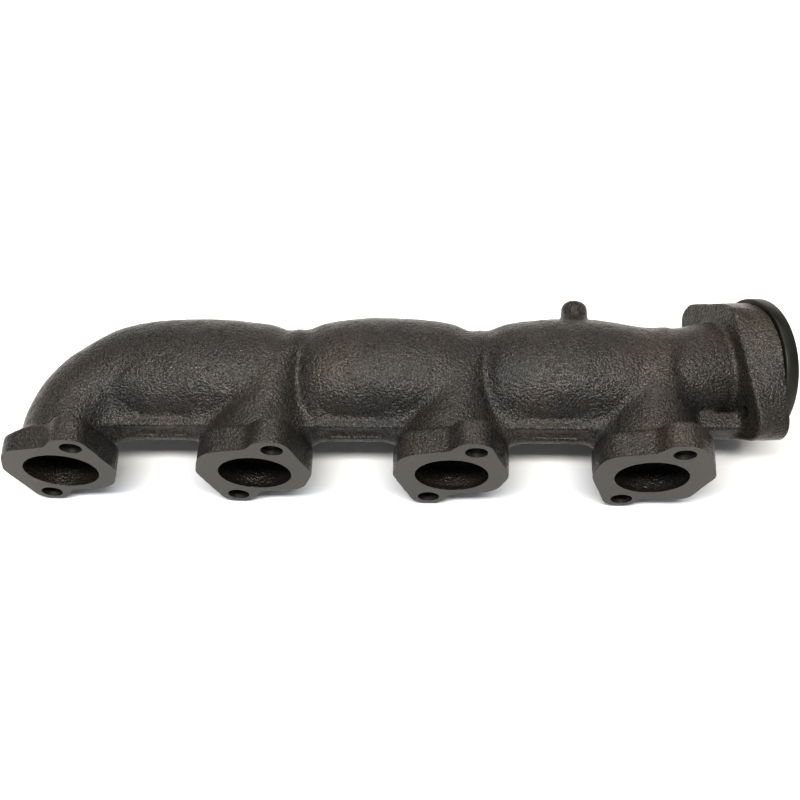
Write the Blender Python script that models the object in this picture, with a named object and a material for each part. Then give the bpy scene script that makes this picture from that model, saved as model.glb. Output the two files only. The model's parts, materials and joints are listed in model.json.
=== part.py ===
"""Four-port exhaust manifold: one hollow iron casting and the turned ring on its outlet flange.

Metres, +Z up. +X runs along the gas log towards the outlet, the port faces look along -Y, and the
origin is at the bottom centre of the bounding box. Everything is designed in the port frame (X = 0
midway between the ports, Y = 0 on the port faces, Z = 0 on the port centres), which hangs from one
empty that stand_on_origin() places at the end.
"""

import math

import bmesh
import bpy
from mathutils import Matrix, Vector

# Ports and their flanges
PORT_PITCH = 0.108
PORT_COUNT = 4
PORT_BORE_RADIUS = 0.020
FLANGE_THICKNESS = 0.015
BOLT_HOLE_RADIUS = 0.006
BOLT_OFFSET = (0.0135, 0.0300)
RIM_BEVEL = 0.0012

# Gas log
LOG_Y = 0.0603
WALL = 0.0055
VALLEY_HALF_WIDTH = 0.0275
PEAK_HALF_WIDTHS = (0.0330, 0.0344, 0.0344)
HEIGHT_TO_WIDTH = 0.88
VALLEYS_X = (-0.1430, -0.0335, 0.0685, 0.1665)
NECK_START_X = 0.170
NECK_END_OFFSET = (0.0010, -0.0050)
NECK_END_HALF_SIZES = (0.0305, 0.0235)
NECK_OVERLAP = 0.003

# Runners between the port flanges and the log
RUNNER_HALF_WIDTH = 0.0295
RUNNER_HALF_HEIGHT = 0.0260
RUNNER_END_RADIUS = 0.0235
RUNNER_LEAN = 0.016
ELBOW_HALF_WIDTH = 0.0250
PASSAGE_RADIUS = 0.0204

# Webs that tie neighbouring flanges together along the log
WEB_FRONT_Y = 0.0245
WEB_BACK_Y = 0.0420
WEB_HALF_HEIGHT = 0.0135
WEB_BEVEL = 0.0040
BEAD_FRONT_Y = 0.0215
BEAD_HALF_HEIGHT = 0.0035
BEAD_BEVEL = 0.0012

# Gusset that carries the webs' line on from the last port to the outlet flange
GUSSET_FRONT_Y = 0.0260
GUSSET_BACK_Y = 0.0440
GUSSET_HALF_HEIGHT = 0.0115

# Blind lug on the back of the log
LUG_X = 0.1222
LUG_TILT = math.radians(8)
LUG_RADIUS = 0.0078
LUG_FOOT_RADIUS = 0.0090
LUG_ROOT = 0.0120
LUG_FOOT_END = 0.0284
LUG_SHANK_START = 0.0348
LUG_REACH = 0.0458
LUG_DOME_HEIGHT = 0.0055

# Outlet flange and ring
OUTLET_CENTRE = (0.2016, 0.0647, 0.0029)
OUTLET_YAW = math.radians(12)
OUTLET_PITCH = math.radians(17)
OUTLET_THICKNESS = 0.0178
OUTLET_PASSAGE_RADIUS = 0.0210
OUTLET_PASSAGE_DEPTH = 0.0110
OUTLET_BORE_RADIUS = 0.0205
OUTLET_BORE_START = 0.0080
OUTLET_ROUND_RADIUS = 0.0370
OUTLET_FLAT_HALF_HEIGHT = 0.0281
OUTLET_FLAT_TILT = math.radians(7.2)
OUTLET_LOBE_RADIUS = 0.0110
OUTLET_LOBE_OFFSET = (0.0385, 0.0125)
OUTLET_BOLT_HOLE_RADIUS = 0.0030
OUTLET_BOLT_OFFSET = (0.0325, 0.0115)
RING_RADIUS = 0.0393
RING_THICKNESS = 0.0080
RING_GAP = 0.0003
RING_BEVEL = 0.0010

# Facets
TUBE_SIDES = 28
ARC_STEP = math.radians(22.5)
HOLE_SIDES = 20
BORE_SIDES = 32
RING_SIDES = 64
ELBOW_STEPS = 8
LOG_STEPS = 26
NECK_STEPS = 7
RUNNER_STEPS = 6
DOME_STEPS = 5
SMOOTH_UNDER = math.radians(35)

OVERCUT = 0.004


def clear_scene():
    for item in list(bpy.data.objects):
        bpy.data.objects.remove(item)


def principled(name, colour, roughness, metallic):
    material = bpy.data.materials.new(name)
    material.use_nodes = True
    shader = material.node_tree.nodes["Principled BSDF"]
    shader.inputs["Base Color"].default_value = (*colour, 1.0)
    shader.inputs["Roughness"].default_value = roughness
    shader.inputs["Metallic"].default_value = metallic
    return material


def add_object(name, bm, parent, matrix=None):
    """Turns a bmesh into an object with outward normals."""
    bmesh.ops.recalc_face_normals(bm, faces=bm.faces[:])
    mesh = bpy.data.meshes.new(name)
    bm.to_mesh(mesh)
    bm.free()
    item = bpy.data.objects.new(name, mesh)
    bpy.context.scene.collection.objects.link(item)
    item.parent = parent
    if matrix is not None:
        item.matrix_local = matrix
    return item


def helper(item):
    """Marks a shape that only joins or cuts another one."""
    item.hide_render = True
    item.display_type = "WIRE"
    return item


def combine(target, others, operation):
    for other in others:
        modifier = target.modifiers.new(f"{operation.lower()}_{other.name}", "BOOLEAN")
        modifier.operation = operation
        modifier.solver = "EXACT"
        modifier.object = helper(other)


def rounded_outline(corners):
    """Points of a closed outline whose corners (x, z, radius) are each replaced by an arc."""
    points = []
    for index, (x, z, radius) in enumerate(corners):
        corner = Vector((x, z))
        before = Vector(corners[index - 1][:2]) - corner
        after = Vector(corners[(index + 1) % len(corners)][:2]) - corner
        before.normalize()
        after.normalize()
        half_angle = before.angle(after) / 2
        bisector = (before + after).normalized()
        centre = corner + bisector * (radius / math.sin(half_angle))
        start = corner + before * (radius / math.tan(half_angle)) - centre
        end = corner + after * (radius / math.tan(half_angle)) - centre
        sweep = math.atan2(start.x * end.y - start.y * end.x, start.dot(end))
        steps = max(2, math.ceil(abs(sweep) / ARC_STEP))
        for step in range(steps + 1):
            turn = Matrix.Rotation(sweep * step / steps, 2)
            points.append(centre + turn @ start)
    return points


def extruded_outline(points, start, end):
    """Prism over an outline in the XZ plane, from y = start to y = end."""
    bm = bmesh.new()
    face = bm.faces.new([bm.verts.new((p.x, start, p.y)) for p in points])
    grown = bmesh.ops.extrude_face_region(bm, geom=[face])["geom"]
    moved = [item for item in grown if isinstance(item, bmesh.types.BMVert)]
    bmesh.ops.translate(bm, vec=(0, end - start, 0), verts=moved)
    return bm


def cylinder(radius, start, end, sides=HOLE_SIDES):
    """Cylinder along Y, from y = start to y = end."""
    turn = Matrix.Rotation(math.pi / 2, 4, "X")
    place = Matrix.Translation((0, (start + end) / 2, 0)) @ turn
    bm = bmesh.new()
    bmesh.ops.create_cone(
        bm,
        cap_ends=True,
        segments=sides,
        radius1=radius,
        radius2=radius,
        depth=end - start,
        matrix=place,
    )
    return bm


def swept_tube(stations):
    """Closed tube through stations of (centre, direction, half_width, half_height)."""
    bm = bmesh.new()
    loops = []
    for centre, direction, half_width, half_height in stations:
        side = direction.cross(Vector((0, 0, 1))).normalized()
        top = side.cross(direction).normalized()
        loop = []
        for index in range(TUBE_SIDES):
            angle = math.tau * index / TUBE_SIDES
            offset = side * (half_width * math.cos(angle)) + top * (half_height * math.sin(angle))
            loop.append(bm.verts.new(centre + offset))
        loops.append(loop)
    for one, two in zip(loops, loops[1:]):
        for index in range(TUBE_SIDES):
            after = (index + 1) % TUBE_SIDES
            bm.faces.new((one[index], one[after], two[after], two[index]))
    bm.faces.new(loops[0])
    bm.faces.new(loops[-1])
    return bm


def port_x(index):
    return (index - (PORT_COUNT - 1) / 2) * PORT_PITCH


def outlet_frame():
    """Matrix whose Y axis is the outlet's axis, with its origin on the back of the outlet flange."""
    turn = Matrix.Rotation(OUTLET_YAW - math.pi / 2, 4, "Z") @ Matrix.Rotation(-OUTLET_PITCH, 4, "X")
    return Matrix.Translation(OUTLET_CENTRE) @ turn


def log_half_width(x):
    """Half the log's width along Y: one low hump after each runner, and a valley between humps."""
    for start, end, peak in zip(VALLEYS_X, VALLEYS_X[1:], PEAK_HALF_WIDTHS):
        if start <= x <= end:
            across = 2 * (x - start) / (end - start) - 1
            return peak - (peak - VALLEY_HALF_WIDTH) * across * across
    return VALLEY_HALF_WIDTH


def log_stations(wall, start_width, start_height):
    """The log's path: back from the first port, round an elbow, along X and through the neck.

    The start sizes hold at the first port. From the elbow's end the log's own width holds, less wall,
    so a wall of 0 gives the outside and the casting's wall gives the gas passage.
    """
    bend = LOG_Y - FLANGE_THICKNESS
    pivot = Vector((port_x(0) + bend, FLANGE_THICKNESS, 0))
    first = Vector((port_x(0), FLANGE_THICKNESS / 2, 0))
    stations = [(first, Vector((0, 1, 0)), start_width, start_height)]
    for step in range(ELBOW_STEPS + 1):
        part = step / ELBOW_STEPS
        angle = part * math.pi / 2
        centre = pivot + Vector((-math.cos(angle), math.sin(angle), 0)) * bend
        log_width = log_half_width(centre.x)
        half_width = start_width + (log_width - wall - start_width) * part
        half_height = start_height + (log_width * HEIGHT_TO_WIDTH - wall - start_height) * part
        direction = Vector((math.sin(angle), math.cos(angle), 0))
        stations.append((centre, direction, half_width, half_height))
    for step in range(1, LOG_STEPS + 1):
        x = pivot.x + (NECK_START_X - pivot.x) * step / LOG_STEPS
        half_width = log_half_width(x) - wall
        half_height = log_half_width(x) * HEIGHT_TO_WIDTH - wall
        stations.append((Vector((x, LOG_Y, 0)), Vector((1, 0, 0)), half_width, half_height))
    stations += neck_stations(wall)
    if wall:
        outlet = outlet_frame()
        axis = outlet.col[1].to_3d()
        centre = outlet.translation + axis * OUTLET_PASSAGE_DEPTH
        stations.append((centre, axis, OUTLET_PASSAGE_RADIUS, OUTLET_PASSAGE_RADIUS))
    return stations


def neck_stations(wall):
    """A short Hermite curve from the log's axis to the low side of the outlet flange's back."""
    outlet = outlet_frame()
    axis = outlet.col[1].to_3d()
    across, up = NECK_END_OFFSET
    start = Vector((NECK_START_X, LOG_Y, 0))
    end = outlet @ Vector((across, 0 if wall else NECK_OVERLAP, up))
    reach = (end - start).length
    stations = []
    for step in range(1, NECK_STEPS + 1):
        t = step / NECK_STEPS
        centre = (
            start * (2 * t**3 - 3 * t**2 + 1)
            + Vector((reach, 0, 0)) * (t**3 - 2 * t**2 + t)
            + end * (3 * t**2 - 2 * t**3)
            + axis * reach * (t**3 - t**2)
        )
        direction = Vector((1, 0, 0)).lerp(axis, t).normalized()
        half_width = VALLEY_HALF_WIDTH - wall
        half_height = VALLEY_HALF_WIDTH * HEIGHT_TO_WIDTH - wall
        half_width += (NECK_END_HALF_SIZES[0] - wall - half_width) * t
        half_height += (NECK_END_HALF_SIZES[1] - wall - half_height) * t
        stations.append((centre, direction, half_width, half_height))
    return stations


def runner_stations(index, start_width, start_height, end_radius):
    """A runner's path from its port face back into the log, leaning towards the outlet."""
    stations = []
    start_y = FLANGE_THICKNESS / 2
    for step in range(RUNNER_STEPS + 1):
        t = step / RUNNER_STEPS
        x = port_x(index) + RUNNER_LEAN * t * t
        y = start_y + (LOG_Y - start_y) * t
        direction = Vector((2 * RUNNER_LEAN * t, LOG_Y - start_y, 0)).normalized()
        half_width = start_width + (end_radius - start_width) * t * t
        half_height = start_height + (end_radius - start_height) * t * t
        stations.append((Vector((x, y, 0)), direction, half_width, half_height))
    return stations


def port_flange_corners(index):
    """Outline of a port flange seen from the front; the last one is broader at its lower right."""
    upper = [
        (0.0205, 0.0405, 0.0100),
        (0.0060, 0.0405, 0.0080),
        (-0.0010, 0.0310, 0.0060),
        (-0.0270, 0.0250, 0.0150),
        (-0.0325, 0.0010, 0.0120),
        (-0.0220, -0.0388, 0.0085),
        (-0.0080, -0.0388, 0.0070),
    ]
    right = [(0.0315, 0.0000, 0.0180)]
    lower = [(0.0010, -0.0245, 0.0080), (0.0230, -0.0245, 0.0160)]
    if index == PORT_COUNT - 1:
        right = [(0.0340, 0.0020, 0.0120), (0.0300, 0.0220, 0.0200)]
        lower = [(-0.0030, -0.0290, 0.0060), (0.0230, -0.0290, 0.0080)]
    return right + upper + lower


def arc_points(centre, radius, half_height=math.inf):
    """Points round a circle in the outlet's XZ plane, cut flat along the flange's long sides."""
    flat = Vector((math.sin(OUTLET_FLAT_TILT), math.cos(OUTLET_FLAT_TILT)))
    points = []
    for step in range(TUBE_SIDES):
        angle = math.tau * step / TUBE_SIDES
        point = Vector(centre) + Vector((math.cos(angle), math.sin(angle))) * radius
        over = abs(point.dot(flat)) - half_height
        if over > 0:
            point -= flat * math.copysign(over, point.dot(flat))
        points.append(point)
    return points


def port_flange(index, parent):
    points = rounded_outline(port_flange_corners(index))
    bm = extruded_outline(points, 0, FLANGE_THICKNESS)
    rim = [edge for edge in bm.edges if all(v.co.y > FLANGE_THICKNESS / 2 for v in edge.verts)]
    bmesh.ops.bevel(bm, geom=rim, offset=RIM_BEVEL, segments=1, affect="EDGES")
    place = Matrix.Translation((port_x(index), 0, 0))
    return add_object(f"port_flange_blank_{index + 1}", bm, parent, place)


def outlet_flange(parent):
    """Hull between a flat-sided back with two bolt lobes and a rounder front that carries the ring."""
    bm = bmesh.new()
    across, up = OUTLET_LOBE_OFFSET
    lobes = arc_points((across, up), OUTLET_LOBE_RADIUS)
    lobes += arc_points((-across, -up), OUTLET_LOBE_RADIUS)
    back = lobes + arc_points((0, 0), OUTLET_ROUND_RADIUS, OUTLET_FLAT_HALF_HEIGHT)
    front = lobes + arc_points((0, 0), OUTLET_ROUND_RADIUS)
    for depth, outline in ((0, back), (OUTLET_THICKNESS, front)):
        for point in outline:
            bm.verts.new((point.x, depth, point.y))
    hull = bmesh.ops.convex_hull(bm, input=bm.verts[:])
    inner = set(hull["geom_interior"] + hull["geom_unused"])
    spare = [item for item in inner if isinstance(item, bmesh.types.BMVert)]
    bmesh.ops.delete(bm, geom=spare, context="VERTS")
    return add_object("outlet_flange_blank", bm, parent, outlet_frame())


def gusset(parent):
    """Block from the last runner to the outlet flange, whose end follows the flange's slanted back."""
    to_outlet = outlet_frame().inverted()
    axis = outlet_frame().col[1].to_3d()
    bm = bmesh.new()
    for y in (GUSSET_FRONT_Y, GUSSET_BACK_Y):
        for z in (-GUSSET_HALF_HEIGHT, GUSSET_HALF_HEIGHT):
            start = Vector((port_x(PORT_COUNT - 1), y, z))
            short = NECK_OVERLAP - (to_outlet @ start).y
            bm.verts.new(start)
            bm.verts.new(start + Vector((short / axis.x, 0, 0)))
    bmesh.ops.convex_hull(bm, input=bm.verts[:])
    return add_object("gusset_blank", bm, parent)


def bar(front, back, half_height, bevel, start_x, end_x):
    """Bar along X whose two front edges are bevelled."""
    bm = bmesh.new()
    size = Matrix.Diagonal((end_x - start_x, back - front, 2 * half_height, 1))
    place = Matrix.Translation(((start_x + end_x) / 2, (front + back) / 2, 0))
    bmesh.ops.create_cube(bm, size=1, matrix=place @ size)
    middle = (front + back) / 2
    edges = [edge for edge in bm.edges if all(v.co.y < middle for v in edge.verts)]
    long_edges = [edge for edge in edges if abs(edge.verts[0].co.x - edge.verts[1].co.x) > bevel]
    bmesh.ops.bevel(bm, geom=long_edges, offset=bevel, segments=3, profile=0.5, affect="EDGES")
    return bm


def webs(parent):
    """One web between each pair of flanges, with the parting bead along its front."""
    pieces = []
    for index in range(PORT_COUNT - 1):
        start_x = port_x(index)
        end_x = port_x(index + 1)
        web = bar(WEB_FRONT_Y, WEB_BACK_Y, WEB_HALF_HEIGHT, WEB_BEVEL, start_x, end_x)
        bead = bar(BEAD_FRONT_Y, WEB_BACK_Y - BEAD_BEVEL, BEAD_HALF_HEIGHT, BEAD_BEVEL, start_x, end_x)
        pieces.append(add_object(f"web_blank_{index + 1}", web, parent))
        pieces.append(add_object(f"bead_blank_{index + 1}", bead, parent))
    return pieces


def lug(parent):
    """Round-nosed blind lug: a turned profile of a foot, a taper, a shank and a domed end."""
    profile = [
        (0.0, LUG_ROOT),
        (LUG_FOOT_RADIUS, LUG_ROOT),
        (LUG_FOOT_RADIUS, LUG_FOOT_END),
        (LUG_RADIUS, LUG_SHANK_START),
    ]
    for step in range(DOME_STEPS + 1):
        angle = step / DOME_STEPS * math.pi / 2
        height = LUG_DOME_HEIGHT * (1 - math.sin(angle))
        profile.append((LUG_RADIUS * math.cos(angle), LUG_REACH - height))
    bm = bmesh.new()
    verts = [bm.verts.new((radius, y, 0)) for radius, y in profile]
    edges = [bm.edges.new(pair) for pair in zip(verts, verts[1:])]
    bmesh.ops.spin(
        bm,
        geom=verts + edges,
        axis=(0, 1, 0),
        cent=(0, 0, 0),
        steps=HOLE_SIDES,
        angle=math.tau,
    )
    bmesh.ops.remove_doubles(bm, verts=bm.verts[:], dist=1e-6)
    place = Matrix.Translation((LUG_X, LOG_Y, 0)) @ Matrix.Rotation(LUG_TILT, 4, "X")
    return add_object("lug_blank", bm, parent, place)


def port_cutters(parent):
    """Two bolt holes and the bore's mouth for each port."""
    cutters = []
    for index in range(PORT_COUNT):
        x = port_x(index)
        mouth = cylinder(PORT_BORE_RADIUS, -OVERCUT, FLANGE_THICKNESS, BORE_SIDES)
        place = Matrix.Translation((x, 0, 0))
        cutters.append(add_object(f"port_bore_{index + 1}", mouth, parent, place))
        for name, side in (("upper", 1), ("lower", -1)):
            hole = cylinder(BOLT_HOLE_RADIUS, -OVERCUT, FLANGE_THICKNESS + OVERCUT)
            place = Matrix.Translation((x + side * BOLT_OFFSET[0], 0, side * BOLT_OFFSET[1]))
            cutters.append(add_object(f"port_{index + 1}_{name}_hole", hole, parent, place))
    return cutters


def outlet_cutters(parent):
    """The bore and two bolt holes that run through both the outlet flange and the ring."""
    end = OUTLET_THICKNESS + RING_GAP + RING_THICKNESS + OVERCUT
    bore = cylinder(OUTLET_BORE_RADIUS, OUTLET_BORE_START, end, BORE_SIDES)
    cutters = [add_object("outlet_bore", bore, parent, outlet_frame())]
    across, along = OUTLET_BOLT_OFFSET
    for name, side in (("near", 1), ("far", -1)):
        hole = cylinder(OUTLET_BOLT_HOLE_RADIUS, -OVERCUT, end)
        place = outlet_frame() @ Matrix.Translation((side * across, 0, side * along))
        cutters.append(add_object(f"outlet_{name}_hole", hole, parent, place))
    return cutters


def manifold_casting(parent, holes):
    """The whole casting: log, runners, flanges, webs and lug, hollowed by the gas passage."""
    log = swept_tube(log_stations(0, ELBOW_HALF_WIDTH, RUNNER_HALF_HEIGHT))
    casting = add_object("manifold_casting", log, parent)
    joined = [port_flange(index, parent) for index in range(PORT_COUNT)]
    passage = swept_tube(log_stations(WALL, PASSAGE_RADIUS, PASSAGE_RADIUS))
    passages = [add_object("log_passage", passage, parent)]
    for index in range(1, PORT_COUNT):
        size = (RUNNER_HALF_WIDTH, RUNNER_HALF_HEIGHT, RUNNER_END_RADIUS)
        bore = (PASSAGE_RADIUS, PASSAGE_RADIUS, RUNNER_END_RADIUS - WALL)
        outside = swept_tube(runner_stations(index, *size))
        inside = swept_tube(runner_stations(index, *bore))
        joined.append(add_object(f"runner_blank_{index + 1}", outside, parent))
        passages.append(add_object(f"runner_passage_{index + 1}", inside, parent))
    joined += webs(parent)
    joined += [outlet_flange(parent), gusset(parent), lug(parent)]
    combine(casting, joined, "UNION")
    combine(casting, passages + port_cutters(parent) + holes, "DIFFERENCE")
    casting.data.materials.append(principled("cast_iron", (0.085, 0.078, 0.070), 0.62, 0.45))
    return casting


def outlet_ring(parent, holes):
    """Turned ring bolted against the outlet flange, with the same bore and bolt holes."""
    start = OUTLET_THICKNESS + RING_GAP
    bm = cylinder(RING_RADIUS, start, start + RING_THICKNESS, RING_SIDES)
    rims = [edge for edge in bm.edges if len({round(v.co.y, 6) for v in edge.verts}) == 1]
    bmesh.ops.bevel(bm, geom=rims, offset=RING_BEVEL, segments=2, profile=0.5, affect="EDGES")
    ring = add_object("outlet_ring", bm, parent, outlet_frame())
    combine(ring, holes, "DIFFERENCE")
    ring.data.materials.append(principled("turned_ring", (0.120, 0.120, 0.108), 0.42, 0.60))
    return ring


def shade_smooth(item, angle):
    item.data.shade_smooth()
    item.data.set_sharp_from_angle(angle=angle)


def stand_on_origin(parent, pieces):
    """Moves the port frame so that the bounding box of the pieces stands centred on the origin."""
    bpy.context.view_layer.update()
    graph = bpy.context.evaluated_depsgraph_get()
    points = []
    for piece in pieces:
        evaluated = piece.evaluated_get(graph)
        points += [evaluated.matrix_world @ vertex.co for vertex in evaluated.data.vertices]
    low = Vector([min(p[axis] for p in points) for axis in range(3)])
    high = Vector([max(p[axis] for p in points) for axis in range(3)])
    parent.location = (-(low.x + high.x) / 2, -(low.y + high.y) / 2, -low.z)
    bpy.context.view_layer.update()


def main():
    clear_scene()
    port_frame = bpy.data.objects.new("port_frame", None)
    bpy.context.scene.collection.objects.link(port_frame)
    holes = outlet_cutters(port_frame)
    pieces = [manifold_casting(port_frame, holes), outlet_ring(port_frame, holes)]
    for piece in pieces:
        shade_smooth(piece, SMOOTH_UNDER)
    stand_on_origin(port_frame, pieces)


main()
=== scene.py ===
"""The looks of the exhaust manifold: a rough sand-cast body with milled faces, and a turned ring.

The body is built as one distance field in the port frame (millimetres; X = 0 midway between the
ports, Y = 0 on the port faces, Z = 0 on the port centres), so that every casting fillet is a real
blend. The milled faces and the drilled holes are then cut with sharp edges.
"""

import json
import math

import bmesh
import bpy
import numpy as np
from mathutils import Matrix, Vector
from mathutils.geometry import convex_hull_2d


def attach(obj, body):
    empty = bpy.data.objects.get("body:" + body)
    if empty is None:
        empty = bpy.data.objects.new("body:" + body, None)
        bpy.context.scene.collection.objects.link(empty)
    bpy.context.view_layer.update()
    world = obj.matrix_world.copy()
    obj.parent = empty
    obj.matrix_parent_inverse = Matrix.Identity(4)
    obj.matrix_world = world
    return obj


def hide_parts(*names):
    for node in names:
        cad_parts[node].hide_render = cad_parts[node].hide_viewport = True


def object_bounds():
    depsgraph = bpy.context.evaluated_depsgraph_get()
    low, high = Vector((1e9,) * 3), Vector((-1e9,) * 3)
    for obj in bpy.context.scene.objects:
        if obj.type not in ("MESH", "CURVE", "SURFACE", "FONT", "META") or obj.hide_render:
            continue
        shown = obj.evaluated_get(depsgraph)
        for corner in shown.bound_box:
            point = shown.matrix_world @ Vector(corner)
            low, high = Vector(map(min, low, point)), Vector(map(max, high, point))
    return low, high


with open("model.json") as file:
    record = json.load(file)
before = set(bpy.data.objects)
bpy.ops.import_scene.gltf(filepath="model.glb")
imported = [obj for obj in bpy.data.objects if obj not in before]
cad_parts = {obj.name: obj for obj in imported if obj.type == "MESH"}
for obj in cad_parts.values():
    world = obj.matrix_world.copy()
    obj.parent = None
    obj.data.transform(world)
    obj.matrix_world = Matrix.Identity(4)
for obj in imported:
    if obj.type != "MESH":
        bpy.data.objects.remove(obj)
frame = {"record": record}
cad_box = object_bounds()

MM = 0.001
MOUNTS = {mount["name"]: Vector(mount["pos_m"]) for mount in frame["record"]["mounts"]}
MOUNT_TO_BORE = Vector((0.026, 0, 0))
PORT_FRAME = (MOUNTS["port_face_1"] + MOUNTS["port_face_4"]) / 2 + MOUNT_TO_BORE

# Ports and their flanges (millimetres from here on)
PORT_COUNT = 4
PORT_PITCH = (MOUNTS["port_face_2"] - MOUNTS["port_face_1"]).length / MM
BORE_RADIUS = 20.0
FLANGE_THICKNESS = 15.0
FLANGE_ROUNDING = 1.4
FLANGE_FILLET = 3.2
FIRST_FLANGE_THINNER = 3.0
FIRST_FLANGE_ROUNDING = 2.4
FIRST_FLANGE_WIDER_FILLET = 5.0
MILLING_STOCK = 4.0
BOLT_HOLE_RADIUS = 6.0
BOLT_OFFSET = (13.5, 30.0)
SPOT_FACE_RADIUS = 10.5
SPOT_FACE_DEPTH = 0.5
PORT_HOLE_SIDES = 64

# Gas log
LOG_Y = 60.3
WALL = 5.5
VALLEY_HALF_WIDTH = 27.5
PEAK_HALF_WIDTHS = (33.0, 34.4, 34.4)
FRONT_HALF_WIDTH = 34.6
HUMP_END_DROP = 9.0
FRONT_END_DROP = 3.0
LOG_START_X = -134.0
LOG_START_SLANT_Y = 40.0
LOG_FILLET = 2.0
HEIGHT_TO_WIDTH = 0.88
VALLEYS_X = (-143.0, -33.5, 68.5, 166.5)
NECK_START_X = 170.0
NECK_END_ALONG = 3.0
NECK_END_OFFSET = (-2.5, -4.5)
NECK_END_HALF_SIZES = (27.6, 24.0)
NECK_STEPS = 26
NECK_FILLET = 7.0

# Runners: the first one is the elbow, and the other three lean towards the outlet
RUNNER_HALF_WIDTH = 29.5
RUNNER_HALF_HEIGHT = 26.0
RIDGE_HALF_WIDTH = 15.0
RIDGE_HALF_HEIGHT = 25.2
RIDGE_REACH = 27.2
RUNNER_LEANS = (20.5, 14.5, 10.5)
RUNNER_FILLET = 5.0
ELBOW_HALF_WIDTH = 24.4
ELBOW_FILLETS = (0.5, 3.0)
PASSAGE_RADIUS = 20.4
PASSAGE_FILLET = 2.0

# Webs between the flanges
WEB_FRONT_Y = 22.5
WEB_BACK_Y = 44.0
WEB_HALF_HEIGHT = 12.1
WEB_LOWER_DRAFT = 0.42
WEB_ROUNDING = 1.6
BEAD_FRONT_Y = 20.2
BEAD_HALF_HEIGHT = 2.9
BEAD_ROUNDING = 1.3
WEB_FILLETS = (2.4, 7.5)
BEAD_FILLETS = (1.3, 7.0)
CORNER_REACH = 42.0
CORNER_FADE = 9.0

# Gusset that carries the webs' line on to the outlet flange
GUSSET_FRONT_Y = 26.4
GUSSET_BACK_Y = 37.0
GUSSET_HALF_HEIGHT = 7.5
GUSSET_END_ALONG = 4.0
GUSSET_FILLET = 2.5

# Blind lug
LUG_X = 122.2
LUG_TILT = math.radians(8)
LUG_RADIUS = 8.0
LUG_START = 10.0
LUG_REACH = 45.8
LUG_ROUNDING = 5.0
LUG_TAPER = 0.7
LUG_TAPER_START = 30.0
LUG_TAPER_LENGTH = 16.0
LUG_FILLET = 3.5

# Outlet flange and ring
OUTLET_CENTRE = (201.6, 64.7, 2.9)
OUTLET_YAW = math.radians(12)
OUTLET_PITCH = math.radians(17)
OUTLET_THICKNESS = 17.8
OUTLET_ROUNDING = 1.3
OUTLET_FILLET = 2.6
OUTLET_BORE_RADIUS = 20.5
OUTLET_BORE_START = 5.0
OUTLET_ROUND_RADIUS = 37.0
OUTLET_FLAT_HALF_HEIGHT = 28.1
OUTLET_FLAT_TILT = math.radians(7.2)
OUTLET_LOBE_RADIUS = 11.0
OUTLET_LOBE_OFFSET = (38.5, 12.5)
OUTLET_HOLE_RADIUS = 3.1
OUTLET_BOLT_OFFSET = (32.5, 11.5)
OUTLET_CIRCLE_STEPS = 72
OUTLET_HOLE_SIDES = 48
RING_RADIUS = 39.3
RING_THICKNESS = 8.0
RING_GAP = 0.3
RING_CHAMFER = 1.0
RING_SIDES = 180

# Slow swelling of the cast skin: (seed, size, depth)
UNDULATIONS = ((3, 17.0, 0.16), (4, 6.5, 0.10), (5, 2.6, 0.07))

# Distance field
STEP = 1.0
ARC_STEP = math.radians(10)
FIELD_LOW = (-206.0, -6.0, -47.0)
FIELD_HIGH = (246.0, 112.0, 47.0)
FAR = 60.0
MARGIN = 12.0
NECK_LOW = (160, 25, -32)
NECK_HIGH = (215, 100, 34)
OUTLET_PASSAGE_LOW = (190, 25, -32)
OUTLET_PASSAGE_HIGH = (244, 100, 34)
OUTLET_LOW = (185, 10, -46)
OUTLET_HIGH = (244, 112, 46)

# Telling the machined faces from the cast ones
PLANE_TOLERANCE = 0.02
WALL_TOLERANCE = 0.05
FACING = 0.99
SKIN, MILLED, DRILLED, PASSAGE = range(4)
CAST_SHARP_ANGLE = math.radians(48)
RING_SHARP_ANGLE = math.radians(32)

# Camera (millimetres from the port frame, and degrees) and stage (metres)
CAMERA_PLACE = (67.9, -287.4, 662.1)
CAMERA_ANGLES = (26.77, 2.78, 1.96)
CAMERA_LENS = 59.6
CAMERA_SENSOR_WIDTH = 36
FLOOR_HALF_SIZE = 6
LIGHT_AIM = (0, 0, 0.04)


# ---------------------------------------------------------------------------------------------
# Distance field
# ---------------------------------------------------------------------------------------------


def smooth_min(a, b, radius):
    """Union of two distances, with a concave fillet of about that radius."""
    gap = np.maximum(radius - np.abs(a - b), 0) / radius
    return np.minimum(a, b) - gap * gap * radius * 0.25


def axes():
    return [
        np.arange(low, high + STEP / 2, STEP, dtype=np.float32)
        for low, high in zip(FIELD_LOW, FIELD_HIGH)
    ]


class Field:
    """Signed distances on a grid, negative inside; each shape only touches the block around it."""

    def __init__(self):
        self.axes = axes()
        self.values = np.full([len(axis) for axis in self.axes], FAR, np.float32)

    def block(self, low, high):
        cut = []
        for axis, least, most in zip(self.axes, low, high):
            start = int(np.searchsorted(axis, least - MARGIN))
            stop = int(np.searchsorted(axis, most + MARGIN))
            cut.append(slice(start, stop))
        x, y, z = (axis[part] for axis, part in zip(self.axes, cut))
        return tuple(cut), x[:, None, None], y[None, :, None], z[None, None, :]

    def join(self, low, high, shape, fillet):
        cut, x, y, z = self.block(low, high)
        radius = fillet(x) if callable(fillet) else fillet
        self.values[cut] = smooth_min(self.values[cut], shape(x, y, z), radius)

    def carve(self, low, high, shape, fillet):
        cut, x, y, z = self.block(low, high)
        self.values[cut] = -smooth_min(-self.values[cut], shape(x, y, z), fillet)


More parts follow.
